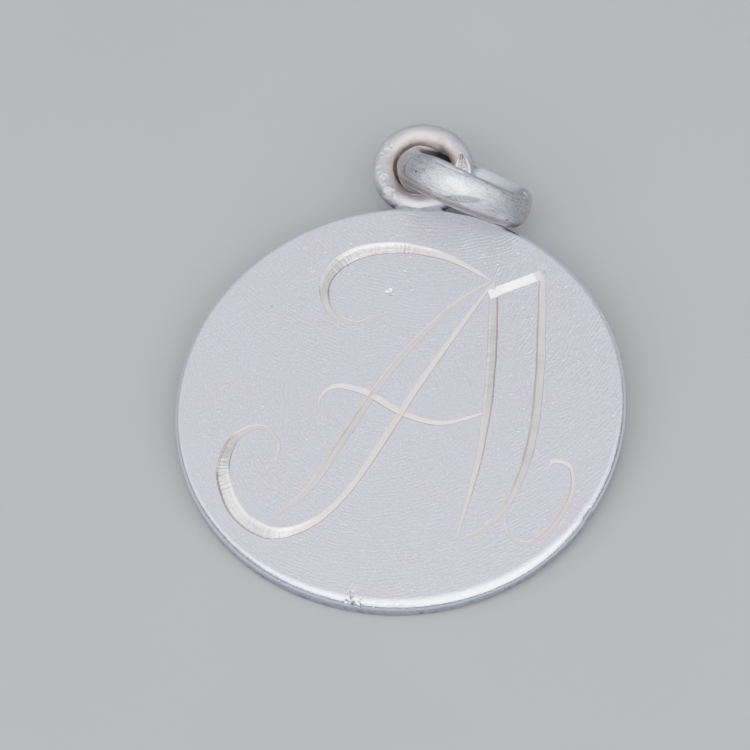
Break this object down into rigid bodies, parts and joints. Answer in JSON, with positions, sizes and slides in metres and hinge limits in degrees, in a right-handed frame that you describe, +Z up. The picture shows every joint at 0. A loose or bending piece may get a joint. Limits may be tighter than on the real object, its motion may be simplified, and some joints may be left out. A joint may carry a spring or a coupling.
{
  "type": "initial pendant",
  "caption": "Round silver initial pendant lying face up: an engraved disc with a soldered eye, and a heavy oval-wire jump ring through the eye.",
  "frame": {"origin": "bottom centre of the pendant's box, on the surface that it lies on", "axes": "+Z up from the surface; +Y from the disc's middle towards its eye; +X to the right when the face is read with the eye at the top"},
  "size_m": [0.025, 0.0304, 0.0071],
  "materials": {
    "satin_silver": "satin, fine swirling brush lines, bright worn edge and bright-cut engraving",
    "worn_silver": "worn and scratched, bright where it rubs, brownish where it is tarnished"
  },
  "bodies": {
    "root": {"engraved_disc": "satin_silver", "jump_ring": "worn_silver"}
  },
  "joints": []
}
